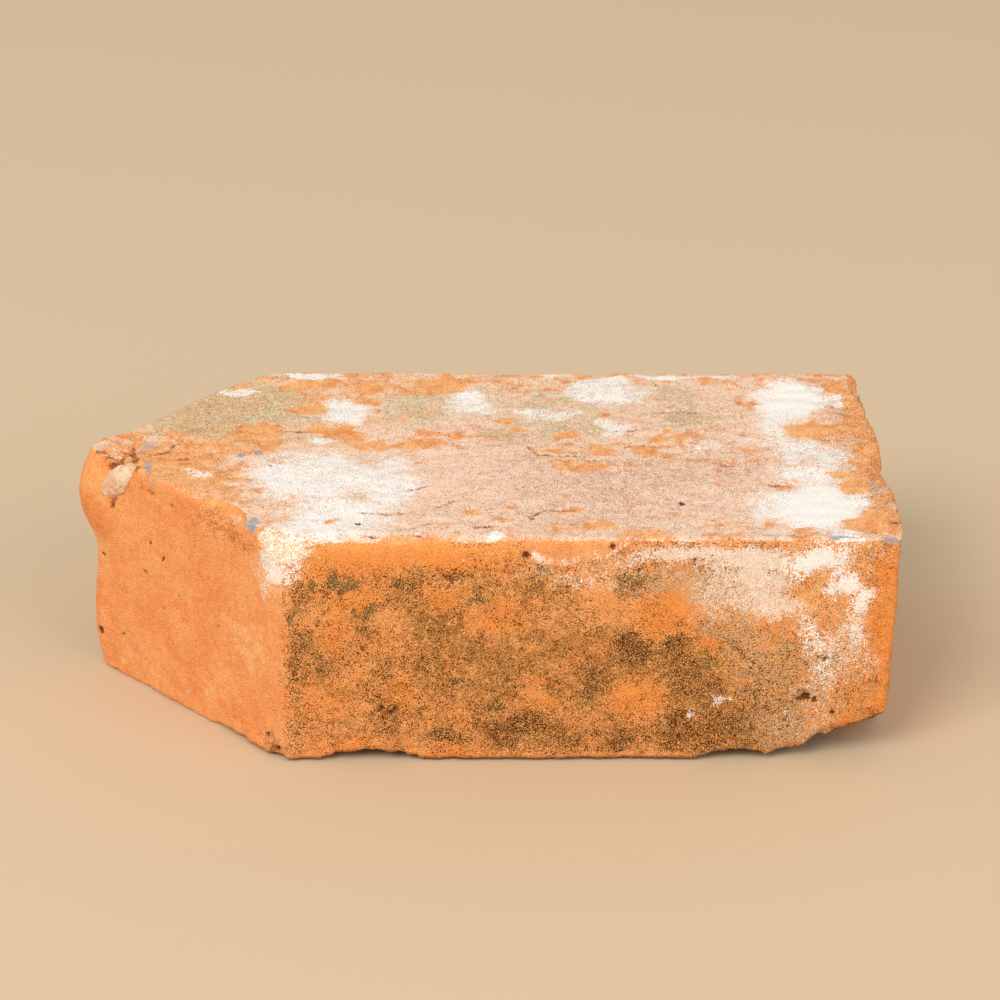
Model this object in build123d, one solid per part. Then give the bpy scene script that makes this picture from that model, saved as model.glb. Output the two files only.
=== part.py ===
from build123d import *
import math
import os

# A hand-moulded clay brick with a pointed end: two cants meet in a rounded nose.
# It lies on its bed. +Z is up, -X is the pointed end, +X the square end and -Y the weathered stretcher face.
# The origin is under the middle of the overall size, level with the lower bed. All sizes are in millimetres.

# Body as moulded
LENGTH = 232.0            # overall, from the swelling on the nose to the square end
WIDTH = 110.0             # across the bed
HEIGHT = 71.0             # bed to bed
NOSE_ANGLE = 90.0         # between the two cants
NOSE_OFFSET = 3.0         # how far the nose sits off the middle of the bed, towards +Y
NOSE_ROUND = 5.0          # radius of the nose in plan
FRONT_ARRIS_ROUND = 2.5   # upright arris between the front cant and the weathered stretcher face
BACK_ARRIS_ROUND = 4.0    # upright arris between the back cant and the back stretcher face
END_ARRIS_ROUND = 4.0     # both upright arrises of the square end
TOP_RIM_ROUND = 2.6       # weathered rim of the upper bed
BOTTOM_RIM_ROUND = 1.5    # rim of the lower bed

# Swelling of the clay round the nose, egg-shaped about the nose's own centre line
SWELL_RADIUS = 9.2        # at its fullest
SWELL_HEIGHT = 26.0       # end to end
SWELL_BELOW_TOP = 1.0     # its upper end, below the upper bed
SWELL_BLEND = 6.0         # hollow round where it runs out into the nose and the cants

# Pebble that was in the clay and was fired in with it, a smooth egg set in the front cant beside the nose
PEBBLE_LENGTH = 16.0
PEBBLE_THICKNESS = 8.0
PEBBLE_ALONG_CANT = 14.0  # its middle, from the sharp corner that the cants would meet in
PEBBLE_BELOW_TOP = 0.5    # its highest point, below the upper bed
PEBBLE_TILT = 47.0        # its long axis above level, seen square on to the cant
PEBBLE_PROUD = 2.5        # how far it stands out of the cant

# Corner knocked off at the foot of the square end, on the weathered side
KNOCK_ALONG = 35.0        # along the brick
KNOCK_UP = 16.0           # up the stretcher face
KNOCK_ACROSS = 24.0       # across the square end
KNOCK_ROUND = 9.0         # its edges are worn round

# Corner broken off at the top of the upright arris beside the front cant
BREAK_ALONG = 14.0        # along the stretcher face
BREAK_DOWN = 10.0         # down the arris
BREAK_CANT = 12.0         # along the cant
BREAK_ROUND = 2.0

# Spalls, each a shallow scoop out of an arris: its place along the arris, its length and its depth
FOOT_SPALLS = ((24.0, 32.0, 2.4), (128.0, 26.0, 2.4))  # foot of the weathered stretcher face, from the cant
CANT_SPALLS = ((57.0, 22.0, 4.2),)                     # top of the front cant, from the cants' sharp corner
END_SPALLS = ((44.0, 36.0, 2.4), (102.0, 36.0, 2.6))   # top of the square end, from the stretcher face

HALF_NOSE = math.radians(NOSE_ANGLE / 2)
NOSE_CENTRE_X = -LENGTH / 2 + SWELL_RADIUS
SHARP_CORNER = Vector(NOSE_CENTRE_X - NOSE_ROUND / math.sin(HALF_NOSE), NOSE_OFFSET, 0)
CANT_DIRECTION = Vector(math.cos(HALF_NOSE), -math.sin(HALF_NOSE), 0)  # along the front cant, from the nose
CANT_NORMAL = Vector(-math.sin(HALF_NOSE), -math.cos(HALF_NOSE), 0)    # out of the front cant
UP = Vector(0, 0, 1)
TOLERANCE = 0.01


def shoulder_x(side):
    """Where a cant meets its stretcher face: side is -1 at the front and 1 at the back."""
    across = WIDTH / 2 - side * NOSE_OFFSET
    return SHARP_CORNER.X + across / math.tan(HALF_NOSE)


def moulded_block():
    """The pentagon in plan, extruded from bed to bed, with sharp arrises."""
    plan = make_face(Polyline(
        (SHARP_CORNER.X, SHARP_CORNER.Y),
        (shoulder_x(-1), -WIDTH / 2),
        (LENGTH / 2, -WIDTH / 2),
        (LENGTH / 2, WIDTH / 2),
        (shoulder_x(1), WIDTH / 2),
        close=True,
    ))
    return extrude(plan, HEIGHT)


def fracture(corner, legs):
    """The plane through the ends of three legs that run from a corner of the block, facing out of it."""
    first, second, third = (corner + leg for leg in legs)
    normal = (second - first).cross(third - first).normalized()
    if normal.dot(corner - first) < 0:
        normal = -normal
    return Plane(origin=first, z_dir=normal)


def edges_on(shape, plane):
    """The edges that lie in a plane."""
    def off(edge, share):
        return abs((edge @ share - plane.origin).dot(plane.z_dir))
    return [edge for edge in shape.edges() if max(off(edge, share) for share in (0, 0.5, 1)) < TOLERANCE]


def upright_edges(shape, x, y):
    """The upright edges that stand at a place in the plan."""
    def stands_there(edge):
        ends = (edge @ 0, edge @ 1)
        return all(abs(end.X - x) < TOLERANCE and abs(end.Y - y) < TOLERANCE for end in ends)
    return [edge for edge in shape.edges() if stands_there(edge)]


def worn_body():
    """The block with its damaged corners cut off and every arris rounded."""
    knock = fracture(
        Vector(LENGTH / 2, -WIDTH / 2, 0),
        (Vector(-KNOCK_ALONG, 0, 0), Vector(0, 0, KNOCK_UP), Vector(0, KNOCK_ACROSS, 0)),
    )
    shoulder_break = fracture(
        Vector(shoulder_x(-1), -WIDTH / 2, HEIGHT),
        (Vector(BREAK_ALONG, 0, 0), Vector(0, 0, -BREAK_DOWN), CANT_DIRECTION * -BREAK_CANT),
    )
    body = split(moulded_block(), bisect_by=knock, keep=Keep.BOTTOM)
    body = fillet(edges_on(body, knock), KNOCK_ROUND)
    upright_arrises = (
        (SHARP_CORNER.X, SHARP_CORNER.Y, NOSE_ROUND),
        (shoulder_x(1), WIDTH / 2, BACK_ARRIS_ROUND),
        (LENGTH / 2, WIDTH / 2, END_ARRIS_ROUND),
        (LENGTH / 2, -WIDTH / 2, END_ARRIS_ROUND),
        (shoulder_x(-1), -WIDTH / 2, FRONT_ARRIS_ROUND),
    )
    for x, y, radius in upright_arrises:
        body = fillet(upright_edges(body, x, y), radius)
    body = fillet(edges_on(body, Plane.XY.offset(HEIGHT)), TOP_RIM_ROUND)
    body = fillet(edges_on(body, Plane.XY), BOTTOM_RIM_ROUND)
    body = split(body, bisect_by=shoulder_break, keep=Keep.BOTTOM)
    return fillet(edges_on(body, shoulder_break), BREAK_ROUND)


def swell_nose(body):
    """The body with an egg, turned about the nose's centre line, fused on and blended in."""
    half_height = SWELL_HEIGHT / 2
    middle = (0, HEIGHT - SWELL_BELOW_TOP - half_height)
    side = EllipticalCenterArc(middle, SWELL_RADIUS, half_height, start_angle=-90, arc_size=180)
    half_section = Plane.XZ * make_face(side + Line(side @ 1, side @ 0))
    egg = Pos(NOSE_CENTRE_X, NOSE_OFFSET, 0) * revolve(half_section, Axis.Z)
    swollen = body + egg
    return fillet(new_edges(body, egg, combined=swollen), SWELL_BLEND)


def fired_in_pebble():
    """An egg turned about its long axis, laid against the cant at its tilt and sunk into it."""
    half_length, half_thickness = PEBBLE_LENGTH / 2, PEBBLE_THICKNESS / 2
    side = EllipticalCenterArc((0, 0), half_length, half_thickness, arc_size=180)
    egg = revolve(make_face(side + Line(side @ 1, side @ 0)), Axis.X)
    tilt = math.radians(PEBBLE_TILT)
    half_height = math.hypot(half_length * math.sin(tilt), half_thickness * math.cos(tilt))
    middle = (
        SHARP_CORNER
        + CANT_DIRECTION * PEBBLE_ALONG_CANT
        + UP * (HEIGHT - PEBBLE_BELOW_TOP - half_height)
        + CANT_NORMAL * (PEBBLE_PROUD - half_thickness)
    )
    long_axis = CANT_DIRECTION * math.cos(tilt) + UP * math.sin(tilt)
    return Plane(origin=middle, x_dir=long_axis, z_dir=CANT_NORMAL) * egg


def scoop(arris_point, outward, length, depth):
    """A ball that bites a hollow of that length and depth out of an arris, from its outward side."""
    radius = length**2 / (8 * depth) + depth / 2
    return Pos(*(arris_point + outward.normalized() * (radius - depth))) * Sphere(radius)


def spalls():
    """Every scoop, seated on the sharp line of its arris: its start, its direction and its outward side."""
    along, across = Vector(1, 0, 0), Vector(0, 1, 0)
    arrises = (
        (Vector(shoulder_x(-1), -WIDTH / 2, 0), along, -across - UP, FOOT_SPALLS),
        (SHARP_CORNER + UP * HEIGHT, CANT_DIRECTION, CANT_NORMAL + UP, CANT_SPALLS),
        (Vector(LENGTH / 2, -WIDTH / 2, HEIGHT), across, along + UP, END_SPALLS),
    )
    return [
        scoop(start + direction * place, outward, length, depth)
        for start, direction, outward, spalls_there in arrises
        for place, length, depth in spalls_there
    ]


brick = swell_nose(worn_body()) + fired_in_pebble() - spalls()

os.makedirs("parts", exist_ok=True)
export_step(brick, "parts/brick.step")
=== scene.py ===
import math

import bpy
import numpy as np
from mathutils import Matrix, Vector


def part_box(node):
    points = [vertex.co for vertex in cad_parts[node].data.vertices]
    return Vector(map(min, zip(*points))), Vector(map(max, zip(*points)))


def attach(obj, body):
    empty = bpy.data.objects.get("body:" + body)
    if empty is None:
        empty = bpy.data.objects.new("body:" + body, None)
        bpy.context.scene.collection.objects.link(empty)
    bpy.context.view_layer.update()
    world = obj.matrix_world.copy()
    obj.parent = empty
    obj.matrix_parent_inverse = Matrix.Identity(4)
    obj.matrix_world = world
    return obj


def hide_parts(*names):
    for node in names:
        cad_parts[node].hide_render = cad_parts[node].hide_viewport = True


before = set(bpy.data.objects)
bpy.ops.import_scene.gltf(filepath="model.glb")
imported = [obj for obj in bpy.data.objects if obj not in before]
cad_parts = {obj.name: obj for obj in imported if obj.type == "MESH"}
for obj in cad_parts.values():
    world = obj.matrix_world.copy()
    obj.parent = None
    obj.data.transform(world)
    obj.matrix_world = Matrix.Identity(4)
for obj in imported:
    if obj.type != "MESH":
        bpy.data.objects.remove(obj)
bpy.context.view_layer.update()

# The brick as it was moulded: one lump of soft clay thrown into a wooden mould, struck off, dried and fired.
# Two cants meet in a nose that swelled as it dried. Its corners have since been knocked and its arrises worn.
# Sizes are in millimetres from here on, and each mesh is turned to metres as it is made.
MM_PER_METRE = 1000
LOW, HIGH = (np.array(corner) * MM_PER_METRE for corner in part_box("brick"))
NOSE_ROUND = 5.0                          # radius of the nose in plan
NOSE_OFFSET = 3.0                         # how far the nose sits off the middle of the bed, towards the back
SWELL_HALF = np.array((9.2, 9.2, 13.0))   # half sizes of the egg that the clay swelled to round the nose
SWELL_MIDDLE = 57.0                       # height of the egg's middle
SWELL_BLEND = 6.0                         # depth over which the egg and the cants run into each other
NOSE_CENTRE = np.array((LOW[0] + SWELL_HALF[0], NOSE_OFFSET, SWELL_MIDDLE))
TIP = NOSE_CENTRE - (NOSE_ROUND * math.sqrt(2), 0, SWELL_MIDDLE)   # foot of the cants' sharp corner
ALONG_CANT = np.array((1, -1, 0)) / math.sqrt(2)                   # down the front cant, away from the nose
OUT_OF_CANT = np.array((-1, -1, 0)) / math.sqrt(2)
OUT_OF_BACK_CANT = OUT_OF_CANT * (1, -1, 1)
SHOULDER = TIP + ALONG_CANT * (TIP[1] - LOW[1]) * math.sqrt(2)     # foot of the arris beside the front cant
STEPS_ALONG, STEPS_TO_NOSE, STEPS_BEYOND_NOSE, STEPS_UP = 204, 74, 58, 66      # about 1 mm apart
FINER_TO_NOSE = 1.25      # power that draws the steps along the brick together toward the nose


def closed_skin(along, to_nose, beyond_nose, up):
    """A closed grid of quads over the sharp pentagon: the two beds are x from the cants to the square end by
    y from front to back, and a wall of `up` rows runs round their shared outline. The share of the way along
    is raised to a power over one, which makes the quads finer toward the nose, where the clay is torn."""
    y = np.concatenate((
        np.linspace(LOW[1], TIP[1], to_nose + 1),
        np.linspace(TIP[1], HIGH[1], beyond_nose + 1)[1:],
    ))
    share = np.linspace(0, 1, along + 1) ** FINER_TO_NOSE
    left = TIP[0] + np.abs(y - TIP[1])
    x = left[:, None] + (HIGH[0] - left[:, None]) * share
    bed = np.stack((x, np.broadcast_to(y[:, None], x.shape), np.zeros_like(x)), axis=-1)
    number = np.arange(bed[..., 0].size).reshape(x.shape)
    outline = np.concatenate((number[0, :-1], number[:-1, -1], number[-1, :0:-1], number[:0:-1, 0]))
    flat = bed.reshape(-1, 3)
    lower, upper = flat, flat + (0, 0, HIGH[2])
    levels = np.linspace(0, HIGH[2], up + 1)[1:-1]
    walls = np.concatenate([flat[outline] + (0, 0, level) for level in levels])
    rows = np.concatenate((
        outline[None],
        2 * number.size + np.arange(walls.shape[0]).reshape(up - 1, outline.size),
        number.size + outline[None],
    ))
    around = np.roll(rows, -1, axis=1)
    wall_quads = np.stack((rows[:-1], around[:-1], around[1:], rows[1:]), axis=-1).reshape(-1, 4)
    bed_quads = np.stack(
        (number[:-1, :-1], number[:-1, 1:], number[1:, 1:], number[1:, :-1]), axis=-1).reshape(-1, 4)
    quads = np.concatenate((bed_quads[:, ::-1], bed_quads + number.size, wall_quads))
    return np.concatenate((lower, upper, walls)), quads


def rounded(a, b, cosine, radius):
    """Depths outside two faces made one, with the arris between them rounded: in the wedge that the round
    fills it is the distance from the round's axis less its radius, and elsewhere the greater depth. `cosine`
    is of the angle between the faces' outward directions."""
    a_out, b_out = a + radius, b + radius
    wedge = (a_out > cosine * b_out) & (b_out > cosine * a_out)
    from_axis = np.sqrt(np.maximum(a_out**2 + b_out**2 - 2 * a_out * b_out * cosine, 0) / (1 - cosine**2))
    return np.where(wedge, from_axis - radius, np.maximum(a, b))


def cut_plane(p, corner, *legs):
    """Depth outside the plane through the ends of three legs that run from a corner of the block."""
    ends = [corner + np.array(leg) for leg in legs]
    normal = np.cross(ends[1] - ends[0], ends[2] - ends[0])
    normal = normal * np.sign(normal @ (corner - ends[0])) / np.linalg.norm(normal)
    return (p - ends[0]) @ normal


FRONT_ARRIS_ROUND = 2.5      # upright arris between the front cant and the stretcher face
BACK_ARRIS_ROUND = 4.0
END_ARRIS_ROUND = 4.0
TOP_RIM_ROUND = 2.0
FOOT_RIM_ROUND = 1.2
WORN_RIM = (-60, -48, 5, 45, 62), (2.0, 5.0, 5.0, 3.0, 2.0)      # places along the front rim, and its round
WORN_FROM, WORN_WIDTH = -40, 8      # where across the bed that wear starts, and over what width it grows
KNOCKED_CORNER = np.array((HIGH[0], LOW[1], 0))
KNOCK_LEGS = (-35, 0, 0), (0, 0, 16), (0, 24, 0)      # along the foot, up the arris and across the square end
KNOCK_COSINE, KNOCK_ROUND = 0.55, 9.0
BROKEN_CORNER = SHOULDER + (0, 0, HIGH[2])
BREAK_LEGS = (14, 0, 0), (0, 0, -10), ALONG_CANT * -12      # along the face, down the arris, along the cant
BREAK_COSINE, BREAK_ROUND = 0.6, 2.0

# Shallow scoops out of an arris: where the arris starts, its direction, its outward side, and for each scoop
# its place along the arris, its length and its depth.
SPALLS = (
    (SHOULDER, (1, 0, 0), (0, -1, -1), ((24, 32, 2.4), (128, 26, 2.4))),
    (TIP + (0, 0, HIGH[2]), ALONG_CANT, OUT_OF_CANT + (0, 0, 1), ((57, 22, 4.2),)),
    ((HIGH[0], LOW[1], HIGH[2]), (0, 1, 0), (1, 0, 1), ((44, 36, 2.4), (102, 36, 2.6))),
)
SPALL_COSINE, SPALL_ROUND = 0.8, 1.5


def worn_form(p):
    """Depth outside the worn brick, without its fine relief: the faces' depths joined arris by arris. With r
    the distance from the middle of the nose's egg in its own half sizes, the egg's depth is r times what r
    is over one, divided by the slope of half the square of r. The egg is joined by the lesser of the two
    depths, less a quarter of the blend times the square of how near they are."""
    x, y, z = p.T
    front_cant = (p - TIP) @ OUT_OF_CANT
    back_cant = (p - TIP) @ OUT_OF_BACK_CANT
    plan = rounded(front_cant, back_cant, 0, NOSE_ROUND)
    plan = rounded(plan, LOW[1] - y, math.sqrt(0.5), FRONT_ARRIS_ROUND)
    plan = rounded(plan, y - HIGH[1], math.sqrt(0.5), BACK_ARRIS_ROUND)
    plan = rounded(plan, x - HIGH[0], 0, END_ARRIS_ROUND)
    worn = np.interp(x, *WORN_RIM) * np.clip((WORN_FROM - y) / WORN_WIDTH, 0, 1)
    shape = rounded(plan, z - HIGH[2], 0, np.maximum(TOP_RIM_ROUND, worn))
    shape = rounded(shape, -z, 0, FOOT_RIM_ROUND)
    shape = rounded(shape, cut_plane(p, KNOCKED_CORNER, *KNOCK_LEGS), KNOCK_COSINE, KNOCK_ROUND)
    shape = rounded(shape, cut_plane(p, BROKEN_CORNER, *BREAK_LEGS), BREAK_COSINE, BREAK_ROUND)
    for start, direction, facing, scoops in SPALLS:
        facing = np.array(facing) / np.linalg.norm(facing)
        for place, length, depth in scoops:
            radius = length**2 / (8 * depth) + depth / 2
            middle = np.array(start) + np.array(direction) * place + facing * (radius - depth)
            inside_ball = radius - np.linalg.norm(p - middle, axis=1)
            shape = rounded(shape, inside_ball, SPALL_COSINE, SPALL_ROUND)
    off = p - NOSE_CENTRE
    r = np.linalg.norm(off / SWELL_HALF, axis=1)
    egg = r * (r - 1) / np.maximum(np.linalg.norm(off / SWELL_HALF**2, axis=1), 1e-6)
    near = np.clip(1 - np.abs(shape - egg) / SWELL_BLEND, 0, 1)
    return np.minimum(shape, egg) - near**2 * SWELL_BLEND / 4


SLOPE_STEP = 0.05


def slope(depth, p):
    """How a depth grows along x, y and z: its change from one small step back to one on, over both steps."""
    steps = np.eye(3) * SLOPE_STEP
    return np.stack([(depth(p + step) - depth(p - step)) / (2 * SLOPE_STEP) for step in steps], axis=-1)


SETTLING_TURNS = 12
SETTLING_SHARE = 0.9      # of the way at each turn, so that no point overshoots in a hollow
LEAST_SQUARE = 0.2        # of the slope, so that no point leaps where the slope fades
skin, quads = closed_skin(STEPS_ALONG, STEPS_TO_NOSE, STEPS_BEYOND_NOSE, STEPS_UP)
for _ in range(SETTLING_TURNS):      # each point slides down the form's own slope on to its surface
    fall = slope(worn_form, skin)
    skin -= fall * (worn_form(skin) / np.maximum((fall**2).sum(1), LEAST_SQUARE))[:, None] * SETTLING_SHARE
outward = slope(worn_form, skin)
outward /= np.linalg.norm(outward, axis=1)[:, None]


# Relief left by the mould, the strike and a century of weather: hand-thrown waves, sandy creases on the
# faces, and thin layers in the upper bed where the clay was struck off along its length.
LATTICE_CORNER = (-130, -70, -10)      # short of the whole brick, so that the lattice counts up from 0
FINER_HEIGHT = 0.55


def lumps(p, size, seed, stretch=(1, 1, 1), finer=1):
    """Smooth lumps between about -1 and 1, `size` mm across: random heights on a lattice, blended between
    the eight nearest by weights that ease in and out. Each finer layer is half the size and just over half
    the height."""
    total = 0
    for layer in range(finer):
        q = (p - LATTICE_CORNER) / (size * np.array(stretch) / 2**layer)
        cell = np.floor(q).astype(int)
        t = q - cell
        t = t * t * (3 - 2 * t)
        heights = np.random.default_rng(seed + layer).uniform(-1, 1, cell.max(0) + 2)
        for corner in np.ndindex(2, 2, 2):
            weight = np.prod(np.where(corner, t, 1 - t), axis=1)
            total = total + FINER_HEIGHT**layer * weight * heights[tuple((cell + corner).T)]
    return total


def spots(p, places, edge):
    """The strongest of several soft spots at each point: its strength where the distance from its middle,
    measured in its own three half lengths, is well below one, half of that at one, and an edge `edge` half
    lengths wide."""
    cover = np.zeros(len(p))
    for middle, reach, strength in places:
        off = np.linalg.norm((p - np.array(middle)) / reach, axis=1)
        cover = np.maximum(cover, strength * np.clip((1 - off) / edge + 0.5, 0, 1))
    return cover


FARTHEST = 99.0


def nearest(p, lines):
    """Distance from each point to the nearest of several crooked lines, each given by its corners: square to
    a straight run where the point lies beside it, and otherwise from the run's end."""
    least = np.full(len(p), FARTHEST)
    for line in lines:
        corners = np.array(line, float)
        for start, run in zip(corners[:-1], np.diff(corners, axis=0)):
            share = np.clip((p - start) @ run / (run @ run), 0, 1)
            least = np.minimum(least, np.linalg.norm(p - start - share[:, None] * run, axis=1))
    return least


def on_cant(along, up):
    """The place on the front cant that far from the nose and that high."""
    return tuple(TIP + ALONG_CANT * along + (0, 0, up))


def eased(start, full, value):
    """0 short of start, 1 past full, and an S-shaped rise from the one to the other. Where start is the
    greater of the two, it rises as the value falls."""
    t = np.clip((value - start) / (full - start), 0, 1)
    return t * t * (3 - 2 * t)


def stray(p, reach, size, seed, stretch=(1, 1, 1), finer=2):
    """Points moved along x, y and z by three lots of lumps times a reach, so that what is placed by the moved
    points has a ragged edge."""
    return p + reach * np.stack([lumps(p, size, seed + k, stretch, finer) for k in range(3)], axis=-1)


x, y, z = skin.T
SIDES = (0, 0, 1), (0, -1, 0), (0, 1, 0), (1, 0, 0), OUT_OF_BACK_CANT
to_top, to_front, to_back, to_end, to_back_cant = (eased(0.5, 0.85, outward @ side) for side in SIDES)
ragged = stray(skin, 2.6, 8, 40, finer=4)

# Pits where grit or a bubble came out, each with its middle and radius: those of the upper bed and its rim,
# of the stretcher face, of the front cant, and of the square end and the back.
# Each pit is also coloured dark brown inside, as painted shade.
PITS = (
    ((55.5, -32, 71), 1.1), ((13, -42, 71), 0.9), ((-35, -44.5, 71), 1.0), ((-60.5, -9.5, 71), 0.7),
    ((-69.5, 30, 71), 0.9), ((-44, -34.5, 71), 0.5), ((-5.5, 49.5, 71), 0.8), ((54, 45.5, 71), 0.6),
    ((34.5, -54.5, 68.5), 1.0), ((111, 4, 70), 1.0), ((112, 21.5, 70), 0.8), ((113, -32, 70), 0.8),
    ((113.5, -45, 70), 1.3), ((90.5, -55, 21), 1.5), ((93, -55, 20), 1.1), ((88.5, -55, 20), 0.9),
    ((95, -55, 33), 0.7), ((98.5, -55, 16), 0.8), ((98, -55, 14.5), 0.6), ((101.5, -55, 22), 0.5),
    ((73.5, -55, 22.5), 0.6), ((29.5, -55, 52), 0.6), ((11, -54.5, 66), 1.3), ((57.5, -55, 64.5), 0.7),
    ((-28.5, -55, 17.5), 0.9), ((-26, -55, 16), 0.8), ((-24.5, -55, 17.5), 0.6), ((-11.5, -55, 30), 0.6),
    (on_cant(4, 12), 1.3), (on_cant(13, 14), 0.7), (on_cant(27, 49), 0.8), (on_cant(32, 46), 0.8),
    (on_cant(47, 50), 0.6), (on_cant(6, 38), 0.8), (on_cant(32, 30), 0.6), (on_cant(55, 33), 0.6),
    (on_cant(64, 31), 0.5), (on_cant(2, 17), 0.8), (on_cant(-1, 47), 0.8), (on_cant(24, 66), 0.6),
    (on_cant(75, 6), 0.8), (on_cant(79, 3), 0.9), ((116, -11, 48), 1.6), ((116, 21, 30), 1.3),
    ((116, -31, 55), 1.1), ((116, 36, 52), 0.9), ((39, 55, 30), 1.4), ((-21, 55, 52), 1.0),
    ((83, 55, 18), 1.6), ((62, 55, 50), 0.8), ((-40, 55, 24), 0.9),
)
wavering = skin + lumps(skin, 1.6, 5)[:, None] * 0.4      # so that no pit is quite round
pit_and_painted_shade = np.full(len(skin), -1.0)                            # half at a pit's own edge, and more inside it
for middle, radius in PITS:
    off = np.linalg.norm(wavering - middle, axis=1)
    pit_and_painted_shade = np.maximum(pit_and_painted_shade, 0.5 + (radius - off) / 2)

# Cracks: deep ones where the clay tore at the nose, and shallow creases between the layers that the strike
# drew out. Along each line the clay is also coloured dark brown, as painted shade inside the crack.
CRACKS = (
    ((-110, 0, 71), (-107, -1.5, 71)),
    ((-107.5, -4, 70), (-106.5, -3.5, 71), (-104.5, -5, 71), (-102.5, -5.5, 71)),
    ((-105, -4.5, 71), (-102.5, -4.5, 71), (-102, -3.5, 71)),
    ((-102, -0.5, 71), (-101.5, -2, 71), (-100.5, -2, 71)),
    ((-100, -1.5, 71), (-100, 0.5, 71), (-99.5, 2.5, 71)),
    ((-99.5, -2.5, 71), (-98.5, -4, 71), (-99, -6.5, 71)),
    ((-107, -5, 68), (-105.5, -6, 69), (-103.5, -7, 70), (-102.5, -6.5, 71)),
    ((-98, -8.5, 71), (-98.5, -10, 71), (-99.5, -11, 70)),
    ((-93.5, -1.5, 71), (-91, 0, 71), (-87.5, 4.5, 71)), ((-86.5, -4.5, 71), (-84, -4.5, 71)),
    ((-105.5, -7, 62), (-104, -8, 61.5), (-103.5, -8, 63), (-102, -9, 64)),
    ((-105, -7.5, 61), (-105.5, -7.5, 59), (-105.5, -7.5, 56)), ((-107.5, -7, 60), (-106, -7, 60.5)),
)
CREASES = (
    ((-96, -15, 65), (-94, -16.5, 65.5)), ((-89, -22, 64), (-88, -23, 65)), ((-22, -24, 71), (-16, -22, 71)),
    ((-13, -34, 71), (-8, -30.5, 71)), ((-34, -37.5, 71), (-26.5, -38.5, 71), (-21, -37.5, 71)),
    ((-24, -48, 71), (-19, -46.5, 71)), ((-18, -45.5, 71), (-13, -44, 71)),
    ((-34, -52, 71), (-24, -52.5, 71), (-17, -51.5, 71)),
    ((13, 3.5, 71), (16.5, -1.5, 71), (21.5, -3, 71), (28, -3, 71)), ((29, -5, 71), (34, -5.5, 71)),
    ((12, -41, 71), (15, -37.5, 71), (19, -36.5, 71), (26, -37, 71)),
    ((66, -7, 71), (71, -8.5, 71), (76, -7, 71)), ((61, 1, 71), (66, 1.5, 71)),
    ((52, 27, 71), (58, 27.5, 71), (65, 26.5, 71)), ((41, 3.5, 71), (46, 5, 71), (51, 4, 71)),
    ((1, -55, 60), (8, -55, 61)), ((-13.5, -55, 61.5), (-12, -55, 60), (-9.5, -55, 59)),
    ((40, 14, 71), (47, 15, 71)), ((-58, 14, 71), (-50, 13, 71)), ((80, -20, 71), (88, -21, 71)),
    ((-3, -47, 71), (3, -46, 71)), ((116, -20, 20), (116, -12, 28), (116, -6, 30)),
    ((116, 5, 60), (116, 16, 56)), ((10, 55, 50), (24, 55, 47)),
)
CRACK_REACH = 3                     # how far a crack's mark fades from it
CRACK_FULL, CREASE_FULL = 1, 0.92   # the mark on the line itself: a crease is the shallower
crooked = stray(skin, 0.7, 2.5, 30)
cracked = CRACK_FULL - nearest(crooked, CRACKS) / CRACK_REACH
creased = CREASE_FULL - nearest(crooked, CREASES) / CRACK_REACH
crack_and_painted_shade = np.maximum(cracked, creased)

# A tongue of clay folded over the front arris, its lip curving down the stretcher face and back up.
LIP_ALONG = (8, 12, 16, 19.5, 23, 26.5, 30, 33.5, 36, 38.5, 43)
LIP_HEIGHT = (71, 66.5, 63.5, 62.5, 63, 64.3, 64.6, 65, 66.5, 68, 71)
above_lip = z - np.interp(x, LIP_ALONG, LIP_HEIGHT) - 0.5 * lumps(skin, 2.5, 9)
tongue = eased(-0.5, 0.7, above_lip) * eased(-42, -46, y) * eased(8, 11, x) * eased(44, 40, x)

# Clay broken rough at the top and the foot of the shoulder, clay torn round the pebble, and the crust of
# mortar left on the shoulder: the middle of each spot, its half lengths and its strength.
ROUGH_BREAK = (
    (on_cant(54, 65), (8, 8, 5), 1), (on_cant(64, 64), (8, 8, 5), 1), (on_cant(79, 4), (4, 4, 5), 1),
)
TORN_NOSE = (((-102, -3.5, 71), (6, 4, 3), 1), (on_cant(12, 68), (4, 4, 3), 0.8))
MORTAR = (
    ((-61, -49.5, 69), (3.4, 3.4, 2.4), 1), ((-57, -53, 67), (4.4, 3.4, 2.6), 1),
    ((-52, -55, 67.5), (4, 3, 1.8), 1), ((-60, -52, 63), (3, 3, 2), 0.8),
)
rough_break = spots(ragged, ROUGH_BREAK, 0.8)
torn_nose = spots(ragged, TORN_NOSE, 0.6)
mortar = spots(ragged, MORTAR, 0.8)
knock = np.abs(cut_plane(skin, KNOCKED_CORNER, *KNOCK_LEGS))

# How far each point stands out of the worn form: waves left by the hands, all over.
relief = 0.3 * lumps(skin, 36, 1) + 0.22 * lumps(skin, 11, 2) + 0.12 * lumps(skin, 3.4, 3, finer=2)
# The strike's drag along the upper bed, and the grain of the mould's sand on the stretcher face.
drag = 0.25 * lumps(skin, 2.6, 20, stretch=(3.2, 1, 1), finer=2) + 0.2 * lumps(skin, 6, 28, stretch=(3, 1, 1))
relief += to_top * drag
relief += to_front * 0.16 * lumps(skin, 2.2, 21, finer=2)
# The square end, pulled in toward the front, the bulge of the back cant, and the uneven foot all round.
relief += to_end * (0.4 * lumps(skin, 7, 22, finer=2) - 1.3 * eased(-30, -54, y))
relief += to_back_cant * (1.6 * eased(18, 34, y) * eased(55, 46, y) - 0.2)
relief += eased(8, 1, z) * 0.5 * lumps(skin, 4, 23, finer=3)
# The crumbled rim of the square end.
crumbled = 0.6 * lumps(skin, 11, 24, finer=2) + 0.5 * eased(60, 66, z) * lumps(skin, 3, 17, finer=2)
relief += eased(104, 112, x) * crumbled
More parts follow.
